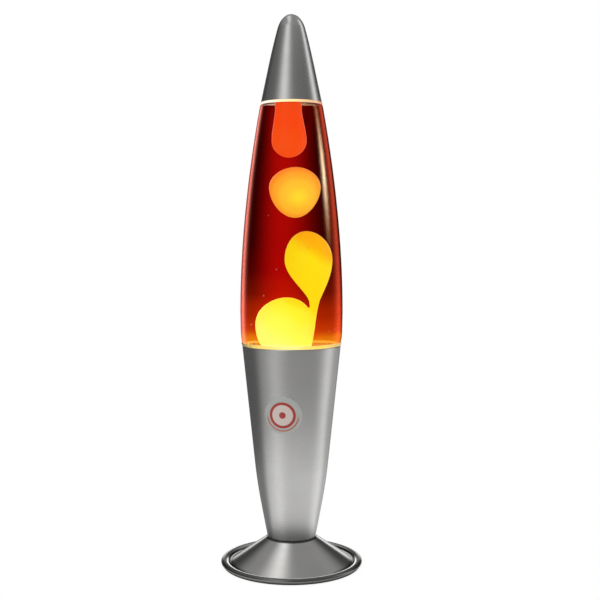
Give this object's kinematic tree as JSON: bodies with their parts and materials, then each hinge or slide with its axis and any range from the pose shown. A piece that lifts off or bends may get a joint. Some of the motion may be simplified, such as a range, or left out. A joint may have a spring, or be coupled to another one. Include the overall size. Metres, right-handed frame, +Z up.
{
  "type": "lava lamp",
  "caption": "Rocket-shaped liquid motion lamp: flared metal foot, tapered metal base with a reflector bulb, sealed glass globe of liquid and wax, and a pointed metal cap",
  "frame": {"origin": "on the table under the centre of the foot", "axes": "+Z up along the lamp's axis, -Y towards the front, +X to the right as seen from the front"},
  "size_m": [0.1064, 0.1064, 0.41],
  "materials": {
    "satin_metal": "spun aluminium, lacquered to a satin sheen",
    "black_rubber": "matte moulded rubber",
    "black_plastic": "fine moulded texture",
    "white_plastic": "smooth moulded",
    "plated_steel": "zinc plated",
    "brass": "plain, slightly dull",
    "brown_insulation": "smooth PVC",
    "blue_insulation": "smooth PVC",
    "sticker_film": null,
    "clear_rubber": "clear, lit from inside",
    "porcelain": "glazed",
    "solder": "dull tin",
    "black_glass": "opaque black glass",
    "cap_aluminium": "pressed sheet",
    "frosted_glass": "silvered bowl and frosted face",
    "stem_glass": "clear",
    "filament": "tungsten wire",
    "clear_glass": "clear and glossy",
    "liquid": "clear dyed liquid",
    "wax_yellow": "molten wax lit from below",
    "wax_amber": "molten wax lit from below",
    "wax_orange": "molten wax lit from below",
    "crown_tinplate": "lacquered tinplate"
  },
  "bodies": {
    "base": {"foot": "satin_metal", "pad_ring": "black_rubber", "bottom_cover": "black_plastic", "cover_screws": "plated_steel", "cord_grommet": "black_rubber", "terminal_block": "white_plastic", "block_screws": "brass", "lead_live": "brown_insulation", "lead_neutral": "blue_insulation", "nipple": "brass", "nut_lower": "plated_steel", "washer_lower": "plated_steel", "base_cone": "satin_metal", "sticker": "sticker_film", "seat_ring": "clear_rubber", "washer_upper": "plated_steel", "nut_upper": "plated_steel", "holder_dome": "white_plastic", "holder_skirt": "white_plastic", "holder_insert": "porcelain", "holder_screw_shell": "brass", "holder_contact": "brass", "terminal_screws": "brass"},
    "bulb_end": {"bulb_contact": "solder"},
    "bulb": {"bulb_insulator": "black_glass", "bulb_screw_cap": "cap_aluminium", "bulb_glass": "frosted_glass", "bulb_stem": "stem_glass", "bulb_filament": "filament", "bulb_support_wires": "plated_steel"},
    "globe": {"globe_glass": "clear_glass", "liquid": "liquid", "wax_mound": "wax_yellow", "heat_coil": "plated_steel", "crown_cap": "crown_tinplate", "crown_liner": "white_plastic"},
    "middle_blob": {"wax_middle": "wax_amber"},
    "top_blob": {"wax_top": "wax_orange"},
    "cap": {"cap_cone": "satin_metal", "cap_ring": "clear_rubber"}
  },
  "joints": [
    {"name": "globe_lift", "type": "slide", "parent": "base", "child": "globe", "axis": [0, 0, 1], "range_m": [0, 0.08]},
    {"name": "cap_lift", "type": "slide", "parent": "globe", "child": "cap", "axis": [0, 0, 1], "range_m": [0, 0.08]},
    {"name": "wax_middle_drift", "type": "slide", "parent": "globe", "child": "middle_blob", "axis": [0, 0, 1], "range_m": [-0.008, 0.0035], "deforming": ["liquid"]},
    {"name": "wax_top_drift", "type": "slide", "parent": "globe", "child": "top_blob", "axis": [0, 0, 1], "range_m": [-0.0025, 0.0015], "deforming": ["liquid"]},
    {"name": "bulb_lift", "type": "slide", "parent": "base", "child": "bulb_end", "axis": [0, 0, 1], "range_m": [0, 0.0099]},
    {"name": "bulb_turn", "type": "hinge", "parent": "bulb_end", "child": "bulb", "pos_m": [0, 0, 0.06], "axis": [0, 0, 1], "range_deg": [0, 1260]}
  ],
  "couplings": [
    {"joint": "bulb_lift", "follows": "bulb_turn", "m_per_rad": 0.00044913}
  ]
}
